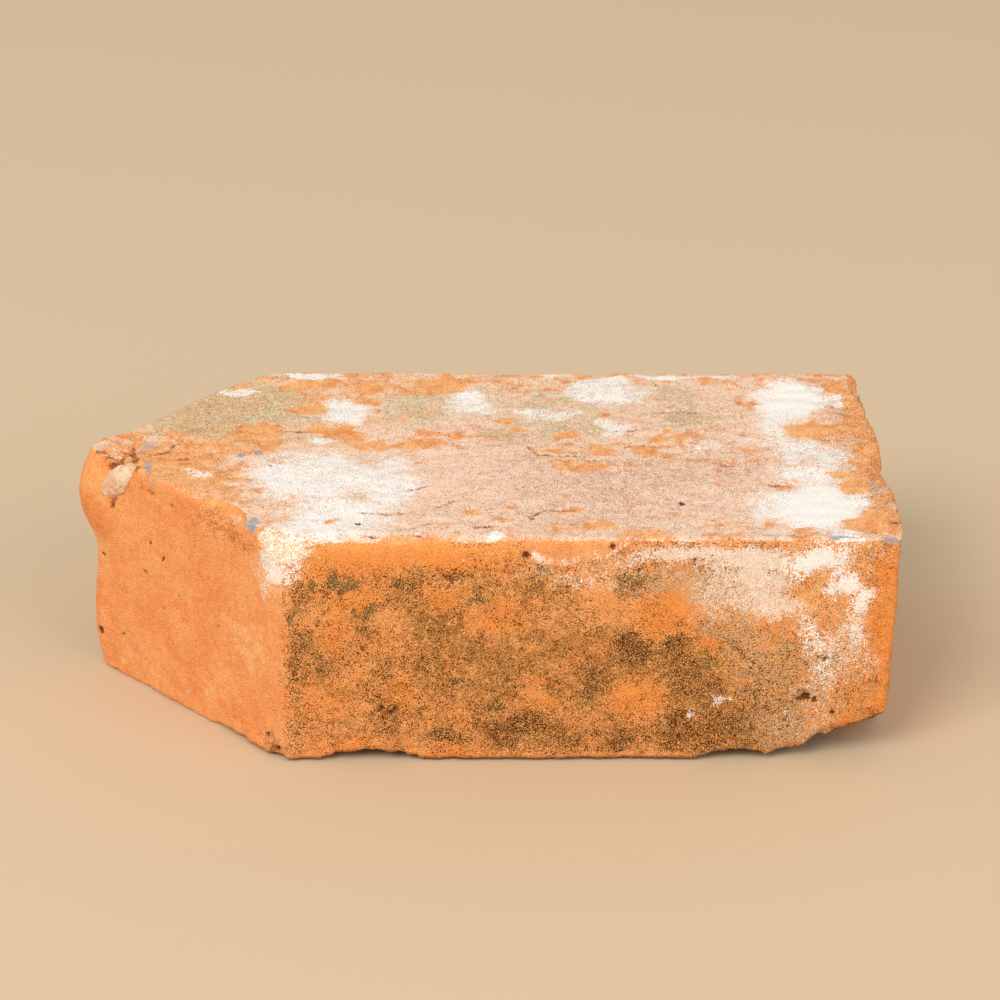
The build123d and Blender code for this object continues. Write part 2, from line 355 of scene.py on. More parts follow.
# The tongue's thickness, the mortar's crust, the rough and torn clay, and the knocked corner's broken face.
relief += 0.9 * tongue + mortar * (0.4 + 1.1 * lumps(skin, 2.2, 25, finer=2))
broken_clay = rough_break * (0.9 * lumps(skin, 3.2, 26, finer=3) - 0.1)
torn_clay = torn_nose * (1.7 * lumps(skin, 1.9, 27, finer=2) - 0.6)
relief += broken_clay + torn_clay
relief += eased(4, 1, knock) * 0.9 * lumps(skin, 6, 19, finer=3)
# A low bulge at the foot of the nose.
relief += 1.3 * spots(skin, (((TIP[0], NOSE_OFFSET, 17), (8, 8, 11), 1),), 1)
# The lower bed's front edge, broken away unevenly, so that the foot stands clear of the ground in places.
relief -= eased(-0.4, -0.9, outward[:, 2]) * eased(-30, -44, y) * (2.0 + 0.6 * lumps(skin, 9, 29))
relief -= eased(-0.1, -0.5, outward[:, 2]) * eased(-40, -50, y) * (0.5 + 1.0 * lumps(skin, 5, 18, finer=3))
# Pits and cracks, and the whole drawn in a little, so that its waves stay inside the brick's size.
relief -= 0.25 + 1.2 * eased(0.3, 1.0, pit_and_painted_shade) + 0.9 * eased(0.55, 0.95, crack_and_painted_shade)
skin = np.clip(skin + outward * relief[:, None], LOW, HIGH)


def solid_piece(name, points, faces, carried_marks=()):
    """A smooth-shaded mesh object from points in millimetres, with one number at each point for each named
    mark."""
    mesh = bpy.data.meshes.new(name)
    mesh.from_pydata(points / MM_PER_METRE, [], faces)
    mesh.shade_smooth()
    for mark, values in carried_marks:
        mesh.attributes.new(mark, "FLOAT", "POINT").data.foreach_set("value", values.astype(np.float32))
    piece = bpy.data.objects.new(name, mesh)
    bpy.context.scene.collection.objects.link(piece)
    return piece


# What a century in a wall left on the clay, with painted shade in pits, cracks and under the front of the
# foot, and a painted highlight on the upper bed. Each mark says how much of a coat there is: about none at 0,
# half the surface at 0.5 and all of it at 1. The finish breaks it up into grains, and the bare places are
# kept clear.
combed = stray(skin, np.array((3, 2.2, 1)), 6, 50, stretch=(1.5, 1, 1), finer=4)


def swells(p, places):
    """The sum of smooth round swells, each its strength times e to the minus square of the distance from its
    middle, measured in its own three half lengths. A strength below zero is a hollow."""
    return sum(
        strength * np.exp(-(((p - np.array(middle)) / reach)**2).sum(1))
        for middle, reach, strength in places)


# Each table gives spots by their middle, their three half lengths and their strength. This one is lime dried
# white: patches on the upper bed, a run down the right of the stretcher face, and traces on the hidden sides.
LIME = (
    ((-48.5, -16.5, 71), (17, 15, 8), 0.95), ((-42, -41, 71), (16, 14, 8), 0.95),
    ((-54, -51, 70), (9, 6, 8), 0.9), ((-27, -20, 71), (9, 16, 8), 0.75),
    ((-46.5, 7.5, 71), (5, 3.6, 5), 0.95), ((-39.5, 25.5, 71), (6.5, 8.5, 6), 0.95),
    ((-2.5, 33.5, 71), (7, 10, 6), 0.8), ((19.5, 25.5, 71), (9, 5, 6), 0.7), ((38, 40, 71), (14, 9, 6), 0.75),
    ((38, 16, 71), (5.5, 6.5, 5), 0.8), ((-30, 1, 71), (5, 5, 5), 0.5), ((-49, 52, 71), (9, 2, 4), 1.0),
    ((20, 52, 71), (10, 1.8, 4), 0.95), ((39, 49, 71), (8, 1.6, 4), 0.9), ((64, 51.5, 71), (16, 1.6, 4), 0.8),
    ((92.5, 35, 71), (10, 14, 8), 1.15), ((106.5, 34, 71), (4, 5, 5), 1.0), ((95, -1, 71), (11, 9, 6), 0.85),
    ((88, 12, 71), (7, 22, 6), 0.6), ((93, -14, 71), (10, 10, 6), 0.75), ((94, -33, 71), (10.5, 17, 8), 1.15),
    ((104, -31.5, 71), (5, 5.5, 5), 1.0), ((81, -36.5, 71), (8, 15, 6), 0.55), ((62, 3, 71), (8, 5, 5), 0.6),
    ((77, 9, 71), (5, 4, 4), 0.55), ((3.5, -51.5, 70.5), (4, 1.8, 4), 1.05), ((97, -53, 67), (8, 5, 6), 0.9),
    ((91, -55, 63.5), (9, 5, 4), 1.1), ((99, -55, 57), (4.8, 5, 5), 1.05),
    ((104.5, -55, 52), (3.6, 5, 4.5), 0.95), ((105.5, -55, 41), (3, 5, 8), 0.55),
    ((94.5, -55, 31), (4, 4, 9), 0.36), ((84, -55, 48), (7, 4, 3.5), 0.45),
    ((91, -55, 41), (5.5, 4, 5.5), 0.52), ((67, -55, 21.5), (3, 4, 2), 0.6),
    ((58, -55, 16), (2, 4, 2.5), 0.6), ((-81, -14.5, 71), (4, 2.5, 4), 0.7),
    ((-57, -53, 62), (6, 6, 6), 0.75), ((-72, 39, 70), (5, 3, 4), 0.8), ((59, 55, 42), (30, 6, 12), 0.5),
    ((-26, 55, 22), (24, 6, 9), 0.45), ((116, 19, 40), (8, 20, 9), 0.5), ((-86, 33, 40), (9, 9, 12), 0.42),
    ((84, 55, 60), (18, 6, 6), 0.7), ((116, -24, 62), (6, 14, 6), 0.6),
)
# A thin veil of lime over the upper bed, with hollows where it is worn off.
HAZE = (
    ((-45, -25, 71), (30, 36, 10), 0.5), ((5, -22, 71), (45, 30, 10), 0.45),
    ((60, -30, 71), (34, 26, 10), 0.45), ((92, -5, 71), (20, 20, 10), 0.2),
    ((-84, -14, 71), (18, 16, 8), -0.6), ((-76, 28, 71), (20, 15, 8), -0.4),
    ((26, -9.5, 71), (9, 5, 8), -0.3), ((52, -2, 71), (26, 6, 8), -0.1), ((66, 30, 71), (30, 20, 8), 0.46),
    ((10, 26, 71), (42, 18, 8), 0.46),
)
# Olive bloom on the upper bed, most of it toward the back, and on the back itself.
OLIVE = (
    ((-79, 26.5, 71), (19, 18, 14), 1.2), ((-63, 31.5, 71), (15, 14, 10), 1.1),
    ((-53, 18, 71), (12, 12, 10), 0.7), ((-18, 30.5, 71), (13, 13, 8), 0.95),
    ((7.5, 9.5, 71), (7, 7, 6), 0.8), ((25, 23, 71), (18, 19, 8), 0.85), ((62, 22, 71), (12, 8, 6), 0.9),
    ((60, 37, 71), (10, 9, 6), 0.8), ((-91, 29, 35), (28, 28, 36), 0.6), ((39, 55, 50), (60, 8, 20), 0.5),
    ((22, -4, 71), (16, 4, 6), 0.5), ((40, 38, 71), (24, 13, 6), 0.65), ((4, 32, 71), (34, 13, 6), 0.5),
)
# Brown grit lodged in the upper bed and along its rims, with hollows under the thickest lime.
GRIT = (
    ((62, 21, 71), (14, 9, 6), 0.22), ((28, -32, 71), (26, 24, 8), 0.22), ((58, -12, 71), (34, 14, 8), 0.22),
    ((8, 9, 71), (14, 9, 8), 0.18), ((20, 32, 71), (26, 14, 8), 0.1), ((100, 0, 71), (10, 12, 8), 0.2),
    ((110, 20, 69), (6, 30, 8), 0.55), ((-40, -14, 71), (14, 20, 8), 0.12),
    ((112, -25, 66), (6, 30, 10), 0.55), ((111, -55, 38), (5, 6, 30), 0.4), ((92, 35, 71), (10, 14, 6), -0.2),
    ((94, -33, 71), (10, 16, 6), -0.22), (on_cant(57, 63), (11, 11, 6), 0.3),
    (on_cant(30, 66), (8, 8, 4), 0.25), (on_cant(78, 5), (5, 5, 6), 0.6), ((-79, 26, 71), (20, 18, 10), 0.08),
    ((98, -53, 68), (14, 5, 4), 0.3), ((-57, -53, 66), (6, 6, 6), 0.25),
)
# Brown film caught in the pores of the stretcher face.
FILM = (
    ((-23.5, -55, 56), (7, 8, 6), 0.42), ((-12.5, -55, 43), (10, 8, 9), 0.5),
    ((-29, -55, 27), (7, 8, 7), 0.45), ((-8, -55, 25), (15, 8, 8), 0.5), ((4, -55, 36), (14, 8, 9), 0.45),
    ((10, -55, 12), (18, 8, 9), 0.55), ((-47, -55, 27), (5, 8, 7), 0.45), ((10, -55, 55), (14, 8, 6), 0.38),
    ((26, -55, 38), (16, 8, 9), 0.55), ((60, -55, 26), (12, 8, 12), 0.5), ((38, -55, 30), (14, 8, 12), 0.45),
    ((60, -55, 8), (24, 8, 9), 0.5), ((78, -55, 22), (14, 8, 16), 0.45), ((-44, -55, 10), (10, 8, 6), 0.3),
    ((62, -55, 48), (12, 8, 8), 0.05), ((-50, -55, 44), (3, 8, 12), 0.4), ((41, -55, 57), (6, 8, 5), 0.5),
    (on_cant(56, 64), (9, 9, 4), 0.2),
)
# Pale mortar dust, most of it on the right half of that face.
DUST = (
    ((63, -55, 58), (16, 8, 10), 1.0), ((70, -55, 42), (10, 8, 9), 0.6), ((80, -55, 28), (13, 8, 13), 0.85),
    ((86, -55, 10), (14, 8, 9), 0.9), ((16, -55, 60), (18, 8, 4), 0.5), ((76, -55, 60), (10, 8, 8), 0.6),
    ((100, -55, 34), (9, 8, 16), 0.55), ((49, -55, 54), (10, 8, 6), 0.6), ((-8, -55, 64), (12, 8, 3), 0.35),
    ((30, 55, 35), (60, 8, 25), 0.4),
)
# Places on it that the film never took to, where the clay's orange glows through.
EMBER = (
    ((-39.5, -55, 64), (15, 8, 6), 1.0), ((-14, -55, 65), (20, 8, 4), 0.9),
    ((-37.5, -55, 52), (10, 8, 3.4), 0.8), ((-11, -55, 53.5), (6, 8, 4), 0.8), ((3, -55, 47), (9, 8, 5), 0.8),
    ((-41.5, -55, 42), (4.5, 8, 8), 0.7), ((-23.5, -55, 22.5), (5.5, 8, 7), 0.8),
    ((-36, -55, 5), (9, 8, 4), 0.75), ((-10.5, -55, 1.5), (7, 8, 2.5), 0.9),
    ((16.5, -55, 18.5), (7.5, 8, 3), 0.6), ((29.5, -55, 34), (8, 8, 2.8), 0.6),
    ((49.5, -55, 46), (9, 8, 6), 0.85), ((42.5, -55, 21.5), (7, 8, 7.5), 0.85),
    ((62.5, -55, 37), (2.8, 8, 2.8), 0.8), ((77, -55, 46.5), (3.2, 8, 2.2), 0.9),
    ((95, -55, 40), (2, 8, 2), 1.0), ((111, -55, 18), (4, 8, 7), 0.8), ((101.5, -55, 15.5), (2.2, 8, 3), 0.8),
    ((-44, -55, 22), (7, 8, 8), 0.5), ((112, -55, 45), (4, 8, 30), 0.7), ((52, -55, 41), (7, 8, 3), 0.5),
)
# Soot in its pores, darkest in two blots right of the middle and one at the foot.
SOOT = (
    ((41.5, -55, 36.5), (6, 8, 4.6), 1.0), ((54, -55, 37), (4.2, 8, 3.2), 0.8),
    ((40.5, -55, 58), (3.8, 8, 3.2), 0.45), ((32.5, -55, 27.5), (4, 8, 5), 0.35),
    ((54, -55, 27), (6, 8, 5), 0.3), ((61.5, -55, 10), (14, 8, 8), 0.35), ((8, -55, 11.5), (10, 8, 6), 0.85),
    ((-10, -55, 60.5), (4, 8, 2.6), 0.45), ((-25.5, -55, 17), (5, 8, 5), 0.4),
    ((-10.5, -55, 7), (6, 8, 3.5), 0.5), ((40, -55, 6), (22, 8, 5), 0.3), ((70, -55, 20), (14, 8, 11), 0.22),
    ((-26, -55, 56), (8, 8, 4), 0.2), ((-46, -55, 34), (5, 8, 5), 0.2), ((-12, -55, 30), (14, 8, 10), 0.15),
    ((2, -55, 54), (10, 8, 6), 0.04), ((-33, -55, 66), (18, 8, 4), -0.2), ((32, -55, 56), (14, 8, 7), -0.2),
    ((100, -55, 44), (14, 8, 40), -0.15), ((59, -55, 50), (12, 8, 8), -0.3),
    ((-53, -55, 30), (2.5, 8, 26), 0.35), (on_cant(78, 5), (5, 5, 6), 0.35),
    (on_cant(55, 64), (9, 9, 4), 0.2),
)
# Frost of fine lime grains, mostly at the top and right of that face.
FROST = (
    ((76, -55, 62), (9, 8, 7), 0.85), ((81, -55, 50), (11, 8, 6), 0.7), ((91, -55, 40.5), (8, 8, 7), 0.6),
    ((94, -55, 29), (6.5, 8, 9), 0.48), ((92, -55, 17), (9, 8, 8), 0.3), ((88, -55, 9), (12, 8, 5), 0.25),
    ((98, -55, 60), (10, 8, 7), 0.6), ((104, -55, 46), (6, 8, 9), 0.6), ((104, -55, 30), (6, 8, 10), 0.45),
    ((64, -55, 54), (14, 8, 11), 0.55), ((66, -55, 67), (28, 8, 4), 0.75), ((28, -55, 59), (18, 8, 6), 0.5),
    ((64, -55, 20), (6, 8, 4), 0.3), ((110, -55, 66), (5, 6, 4), 0.3), ((-3, -55, 66), (12, 8, 2.5), 0.3),
    (on_cant(77, 57), (7, 7, 10), 0.6), ((44, -54, 68), (14, 6, 4), 0.4), ((30, 55, 35), (60, 8, 25), 0.25),
    ((116, -1, 40), (8, 40, 20), 0.25),
)
# Paler clay on the front cant, and along the top of the stretcher face.
BLEACHED = (
    (on_cant(68, 34), (13, 13, 12), 0.6), (on_cant(76, 54), (7, 7, 9), 0.6),
    (on_cant(46, 20), (18, 18, 8), 0.3), (on_cant(14, 10), (10, 10, 10), 0.3),
    (on_cant(56, 10), (22, 22, 7), 0.25), ((-30, -55, 67), (34, 8, 6), 0.9),
    (on_cant(40, 8), (30, 30, 6), 0.2),
)
# Dry brown lichen in small spots, most of them on the left of the stretcher face.
LICHEN = (
    ((-48.5, -55, 57), (2.2, 3, 2.4), 0.95), ((-39, -55, 56.5), (5, 3, 3), 1.0),
    ((-34, -55, 49.5), (4.4, 3, 2.2), 0.9), ((-46.5, -55, 34.5), (3.4, 3, 3.4), 0.7),
    ((-35, -55, 43.5), (2.6, 3, 2.6), 0.8), ((-26.5, -55, 57), (2.4, 3, 2), 0.9),
    ((-51, -55, 45.5), (2.4, 3, 4), 0.8), ((-8.5, -55, 60), (5.4, 3, 2.2), 0.8),
    ((-2, -55, 54), (3.6, 3, 2.8), 0.7), ((-12.5, -55, 31.5), (2.2, 3, 2.2), 0.75),
    ((-8, -55, 27), (3, 3, 2.2), 0.7), ((2.5, -55, 19.5), (3.6, 3, 2.6), 0.7),
    ((40, -55, 58.5), (6, 3, 4.5), 0.8), ((54, -55, 37), (5, 3, 4), 0.6), ((41, -55, 36), (7, 3, 5), 0.45),
    ((-14, -55, 8), (5, 3, 3), 0.6), ((30, -55, 27), (4, 3, 5), 0.6), ((60, -55, 30), (8, 3, 5), 0.55),
    ((-27, -55, 19), (4, 3, 4), 0.5), ((70, -55, 13), (9, 3, 5), 0.45), ((20, -55, 57), (9, 3, 3), 0.5),
    ((-55, 51, 71), (6, 3, 4), 0.4), (on_cant(40, 38), (2.6, 2.6, 1.6), 0.7),
    (on_cant(25, 39), (2.4, 2.4, 1.4), 0.6), (on_cant(78, 5), (3, 3, 5), 0.7),
    (on_cant(2, 60), (3, 3, 4), 0.4),
)
# Places rubbed bare since, where the orange body shows through lime and haze.
BARE = (
    ((-50, 46, 71), (9, 4, 6), 0.85), ((-33, 44, 71), (7, 6, 6), 0.85), ((-13, 44.5, 71), (10, 6.5, 6), 0.95),
    ((-52, 27.5, 71), (7, 2.8, 6), 0.9), ((-46, 16.5, 71), (3.4, 3, 5), 1.0),
    ((-38.5, 11.5, 71), (5, 4.4, 5), 1.0), ((-31.5, 3.5, 71), (5, 4, 5), 1.0), ((-60, 7, 71), (3, 9, 5), 0.9),
    ((-16.5, 4.5, 71), (5, 3.4, 5), 1.0), ((-16, 12.5, 71), (3, 2.2, 5), 0.85),
    ((-6.5, 9.5, 71), (3, 2.8, 5), 0.85), ((6, 21.5, 71), (2.8, 2.2, 5), 0.9),
    ((10, 14.5, 71), (2.6, 2, 5), 0.9), ((24, 10.5, 71), (3.6, 2.6, 5), 1.0),
    ((36, 25, 71), (3.4, 2.2, 5), 0.9), ((33.5, 0, 71), (4.4, 2.8, 5), 0.95),
    ((22, 0.5, 71), (6, 1.6, 5), 0.85), ((26, -9.5, 71), (7, 3, 5), 0.75),
    ((-3, -40.5, 71), (2.6, 1.8, 4), 0.9), ((7.5, -35, 71), (2.4, 1.6, 4), 0.8),
    ((24.5, -37, 71), (3.4, 2.8, 4), 0.9), ((33, -46, 71), (3.6, 3.2, 4), 0.8),
    ((-42, -43.5, 71), (1.8, 1.4, 4), 0.8), ((-18, -54.5, 68), (30, 2.2, 4), 0.9),
    ((75, 44, 71), (9, 5, 6), 0.25), ((53.5, 10.5, 71), (2.8, 3.6, 5), 0.9), ((48, 2, 71), (5, 3, 5), 0.85),
    ((96, 14.5, 71), (6, 5, 5), 1.0), ((107, 14.5, 71), (8, 4, 5), 1.1),
    ((106.5, 44, 71), (4.5, 4.5, 5), 1.0), ((112, 30, 70), (3.6, 15, 6), 1.0),
    ((112, -2, 70), (3.6, 13, 6), 1.0), ((104, -14, 71), (5.5, 2.6, 5), 0.9),
    ((106.5, -22, 71), (5, 6, 5), 0.9), ((110, -40, 70), (6, 6, 5), 1.0), ((106, -46, 71), (7, 4, 5), 0.95),
    ((88, -48.5, 71), (3, 2.2, 4), 0.9), ((44, -52, 71), (8, 2.6, 4), 0.95),
    ((113, -55, 35), (2.5, 6, 40), 0.8), ((-96, -8, 70), (12, 10, 12), 0.8),
    ((-76, -24, 71), (10, 5, 6), 0.5), ((-66, 12, 71), (6, 5, 5), 0.8), ((10, 51.5, 71), (30, 1.2, 4), 0.6),
    ((-75, 5, 71), (10, 6, 5), 0.5),
)
# Blue-grey rub marks on the rims of the upper bed.
BLUE = (
    ((-97, -1, 70), (2.4, 2.2, 3), 0.8), ((-95, 4, 71), (3, 4, 2), 0.6), ((-69, -3, 71), (1.5, 1.6, 2), 0.95),
    ((-64, -2, 71), (1.5, 1.8, 2), 1.1), ((-95, -11, 70), (1.6, 5, 3), 0.85),
    ((-93, -17, 69.5), (2.4, 2, 3), 0.5), ((-64, -44.5, 71), (1.7, 3.2, 3), 1.0),
    ((51, -50, 71), (3, 0.8, 2), 0.75), ((70, -53, 70.5), (5, 0.8, 2), 0.75),
    ((78, -52, 71), (4, 0.8, 2), 0.8), ((97.5, -54, 70), (4, 1.0, 2), 1.0),
    ((110.5, -54, 70), (3, 1.0, 2), 0.9), ((111, -23.5, 70), (1.5, 4.5, 3), 0.8),
    ((22, -3, 71), (6, 0.8, 2), 0.5),
)
# Ochre stains beside the lime, and in the mortar.
OCHRE = (((88, -55, 55), (8, 5, 7), 0.5), ((98, -55, 44), (5, 5, 8), 0.4), ((-57, -53, 66), (5, 4, 5), 0.35))
# Redder clay at the nose, the square end and the foot, and in streaks on the upper bed.
RUDDY = (
    ((-100, -3, 71), (9, 7, 5), 0.6), ((111, -55, 45), (6, 6, 26), 1.1), ((102, -55, 66), (6, 6, 4), 0.6),
    ((85, -55, 38), (10, 5, 6), 0.5), ((-24, -55, 16), (5, 5, 5), 0.5), ((40, -55, 3), (50, 5, 2), 0.5),
    ((20, -25, 71), (30, 6, 4), 0.4), ((66, -8, 71), (14, 5, 4), 0.5), ((111, 10, 69), (5, 20, 6), 0.5),
)
clumps = lumps(skin, 8, 70, finer=4)
streaks = lumps(skin, 3.5, 75, stretch=(4, 1, 1), finer=3)
# Clay broken since, at the foot and on the knocked corner, carries no residue.
fresh = to_front * eased(3.0, 1.2, z - 1.2 * lumps(skin, 6, 77)) + eased(3, 1, knock)
kept = 1 - np.minimum(np.maximum(spots(combed, BARE, 0.9), fresh), 1)
soiled = to_front * eased(-60, -52, x) * (1 - 0.85 * tongue)
embers = spots(ragged, EMBER, 1.0)
dried_lime = np.where(to_top > 0.5, spots(combed, LIME, 0.8), 0.9 * spots(ragged, LIME, 0.9))
other_sides = to_back + to_end + to_back_cant
intact = kept * (1 - rough_break)
sooted = soiled * (0.44 + swells(ragged, SOOT) + 0.15 * clumps) * (1 - 0.35 * embers)
gritted = (swells(ragged, GRIT) + to_top * 0.34) * (0.5 + 0.5 * kept) * (1 - 0.35 * dried_lime)
# Painted shade: the down-facing rim of the foot toward the front takes the soot coat, as the shadow under the
# lip.
painted_shade_under_foot = 1.2 * eased(-0.2, -0.7, outward[:, 2]) * eased(-35, -45, y)
at_lip = eased(2.2, 0.6, np.abs(above_lip - 1.0)) * eased(11, 13, x) * eased(42, 38, x) * eased(-50, -53, y)
amounts = (
    # The upper bed is paler all over: partly a dust bloom, partly a painted highlight on the up-facing clay.
    ("bleached_and_painted_highlight", np.maximum(0.8 * to_top * (1 - rough_break), swells(skin, BLEACHED)) + 0.15 * clumps),
    ("ruddy", swells(ragged, RUDDY) + 0.2 * clumps),
    ("ember", soiled * (0.35 + 0.55 * embers)),
    ("film", soiled * (0.26 + swells(ragged, FILM) + 0.25 * clumps) * (1 - 0.6 * embers) + 0.4 * rough_break
     + other_sides * (0.3 + 0.4 * clumps)),
    ("dust", soiled * (swells(ragged, DUST) + 0.15 * clumps) * (1 - 0.9 * embers)),
    ("lichen", spots(ragged, LICHEN, 0.8)),
    ("soot_and_painted_shade", np.maximum(sooted, 0.3 * other_sides) * (0.2 + 0.8 * kept) + painted_shade_under_foot),
    ("sand", soiled * (0.48 - 0.2 * embers) + 0.3 * other_sides),
    ("olive", spots(combed, OLIVE, 1.0) * intact),
    ("haze", to_top * (0.5 + swells(combed, HAZE) + 0.25 * streaks + 0.15 * clumps) * intact),
    ("frost", swells(ragged, FROST) * (1 - rough_break)),
    ("ochre", spots(ragged, OCHRE, 1.0)),
    ("lime", dried_lime * (1 + 0.35 * clumps) * (0.05 + 0.95 * kept)),
    ("grit", gritted + 0.15 * rough_break),
    ("flake_lip", at_lip * (0.7 + 0.6 * lumps(skin, 3, 78, finer=2))),
    ("crust", mortar),
    ("blue", spots(skin + 0.4 * (ragged - skin), BLUE, 0.8)),
)
# An amount of none is carried as -1, so that no stray grain of a coat shows where there is none of it.
AMOUNT, CARRIED = (0, 0.2, 2), (-1, 0, 2.25)
marks = [(mark, np.interp(amount, AMOUNT, CARRIED)) for mark, amount in amounts]
marks += [("crack_and_painted_shade", crack_and_painted_shade), ("pit_and_painted_shade", pit_and_painted_shade)]


# Low-fired red clay, matt and porous, with sand in it: orange where bare, speckled where soot and lichen have
# caught in the pores, and white where lime has dried on it.
def linear(hex_colour):
    """An sRGB hex colour as linear red, green, blue and full cover."""
    parts = [int(hex_colour[k:k + 2], 16) / 255 for k in (1, 3, 5)]
    return (*(part / 12.92 if part <= 0.04045 else ((part + 0.055) / 1.055) ** 2.4 for part in parts), 1)


def add(tree, kind, inputs, **settings):
    """Adds one node of a kind, with its settings, and sets or links its inputs by name or number. A Map
    Range takes its value at 0, the ends of the range at 1 and 2 and its highest result at 4, and a Mix of
    colours its share at 0 and the two colours at 6 and 7."""
    node = tree.nodes.new(kind)
    for setting, value in settings.items():
        setattr(node, setting, value)
    for socket, value in inputs.items():
        if isinstance(value, bpy.types.NodeSocket):
            tree.links.new(value, node.inputs[socket])
        else:
            node.inputs[socket].default_value = value
    return node


clay = bpy.data.materials.new("weathered_fired_clay")
clay.use_nodes = True
tree = clay.node_tree
finish = tree.nodes["Principled BSDF"]
place = add(tree, "ShaderNodeTexCoord", {}).outputs["Object"]

# Fields that break the coats up, each a coarse and a fine noise: their grain in millimetres and their
# weights, and where they are taken. The clay's sand and the lime's crystals are a tenth to a fifth of a
# millimetre across, too fine to show, so the finest grain is drawn a third of a millimetre across, about a
# pixel of the photograph. Each field swings evenly about zero.
FIELDS = (
    ("cloudy", 14, 2.2, 1.2, 0.5, (0.1, 0.4, 0.2)),
    ("mottled", 4.5, 2.4, 0.6, 0.6, (0.2, 0.3, 0.5)),
    ("blotchy", 3.0, 2.2, 0.5, 0.9, (0.5, 0.1, 0.3)),
    ("granular", 1.8, 1.3, 0.42, 2.2, (0.3, 0.2, 0.1)),
    ("speckled", 2.4, 1.8, 0.34, 4.0, (0, 0, 0)),
    ("sandy", 2.4, 0.8, 0.36, 4.0, (0.6, 0.5, 0.4)),
    ("flecked", 1.5, 1.0, 0.42, 3.0, (0.4, 0.5, 0.1)),
)
fields = {}
for name, coarse, coarse_share, fine, fine_share, where in FIELDS:
    moved = add(tree, "ShaderNodeMapping", {"Vector": place, "Location": where}).outputs[0]
    broad = add(tree, "ShaderNodeTexNoise", {
        "Vector": moved, "Scale": MM_PER_METRE / coarse, "Detail": 3, "Roughness": 0.7})
    close = add(tree, "ShaderNodeTexNoise", {
        "Vector": moved, "Scale": MM_PER_METRE / fine, "Detail": 1, "Roughness": 0.6})
    mean = (coarse_share + fine_share) / 2
    swing = add(tree, "ShaderNodeMath", {
        0: broad.outputs["Fac"], 1: coarse_share, 2: -mean}, operation="MULTIPLY_ADD")
    fields[name] = add(tree, "ShaderNodeMath", {
        0: close.outputs["Fac"], 1: fine_share, 2: swing.outputs[0]}, operation="MULTIPLY_ADD").outputs[0]

# Coats from the clay outwards: the mark that says how much, or a share that is the same all over, the field
# that breaks it up and by how much, where it starts and is full, how opaque, and its two colours, which the
# flecks pick.
COATS = (
    (0.50, "cloudy", 1.0, 0.10, 0.90, 1.00, "#fba866", "#fdb272"),
    # Paler clay on the cant and the face, and on the upper bed partly a painted highlight.
    ("bleached_and_painted_highlight", "mottled", 1.1, 0.20, 0.90, 0.90, "#feb26a", "#ffcb94"),
    ("ruddy", "blotchy", 0.9, 0.30, 0.80, 0.72, "#d8763e", "#ec9058"),
    (0.46, "speckled", 1.0, 0.36, 0.74, 0.48, "#b0581f", "#c06a2e"),
    (0.50, "sandy", 0.8, 0.10, 0.95, 0.40, "#ffb676", "#ffcc92"),
    ("ember", "cloudy", 0.5, 0.20, 0.80, 0.75, "#ee8834", "#f89a46"),
    ("film", "blotchy", 1.3, 0.20, 0.80, 0.88, "#a4682e", "#bc864a"),
    ("dust", "blotchy", 1.0, 0.15, 0.75, 0.82, "#c0946a", "#dfb996"),
    ("lichen", "blotchy", 1.4, 0.25, 0.75, 0.88, "#62502c", "#887248"),
    # The soot coat is real soot in the pores, and also painted shade under the front of the foot.
    ("soot_and_painted_shade", "speckled", 1.0, 0.44, 0.56, 0.96, "#381c02", "#643408"),
    ("sand", "sandy", 1.0, 0.48, 0.64, 0.85, "#d88c3c", "#f0ba74"),
    ("haze", "mottled", 1.0, 0.00, 0.80, 0.92, "#f6ccae", "#fde6d4"),
    ("olive", "mottled", 1.5, 0.15, 1.05, 0.80, "#c4aa7a", "#ebdcb8"),
    ("frost", "granular", 1.0, 0.35, 0.70, 0.92, "#f0d0b4", "#fdf0e6"),
    ("ochre", "granular", 1.0, 0.40, 0.70, 0.85, "#dfae62", "#f2d498"),
    ("lime", "granular", 1.0, 0.22, 0.62, 0.98, "#fbf3ea", "#fffefc"),
    ("grit", "speckled", 1.0, 0.45, 0.65, 0.66, "#94522c", "#b67248"),
    ("flake_lip", "granular", 1.3, 0.35, 0.75, 0.90, "#f2dec6", "#fff8ee"),
    ("crust", "blotchy", 1.0, 0.20, 0.60, 0.95, "#e2c08e", "#fffaf2"),
    ("blue", "granular", 1.0, 0.35, 0.75, 0.75, "#6f8aa4", "#9db0bf"),
    # Painted shade: dark brown inside the pits.
    ("pit_and_painted_shade", "granular", 0.3, 0.45, 0.58, 0.92, "#4a230f", "#6e3a1c"),
    # Painted shade: dark brown inside the cracks and creases.
    ("crack_and_painted_shade", "granular", 0.22, 0.67, 0.86, 0.88, "#6e2e12", "#b0603a"),
)
BARE_CLAY = "#f38e4c"
FLECK_EDGE = 0.15
flecks = add(tree, "ShaderNodeMapRange", {
    0: fields["flecked"], 1: -FLECK_EDGE, 2: FLECK_EDGE}, interpolation_type="SMOOTHSTEP").outputs[0]
colour = linear(BARE_CLAY)
for mark, field, broken_up, start, full, opaque, dark, pale in COATS:
    amount = mark
    if isinstance(mark, str):
        amount = add(tree, "ShaderNodeAttribute", {}, attribute_name=mark).outputs["Fac"]
    grainy = add(tree, "ShaderNodeMath", {
        0: fields[field], 1: broken_up, 2: amount}, operation="MULTIPLY_ADD").outputs[0]
    cover = add(tree, "ShaderNodeMapRange", {
        0: grainy, 1: start, 2: full, 4: opaque}, interpolation_type="SMOOTHSTEP").outputs[0]
    coat = add(tree, "ShaderNodeMix", {
        0: flecks, 6: linear(dark), 7: linear(pale)}, data_type="RGBA").outputs[2]
    colour = add(tree, "ShaderNodeMix", {0: cover, 6: colour, 7: coat}, data_type="RGBA").outputs[2]
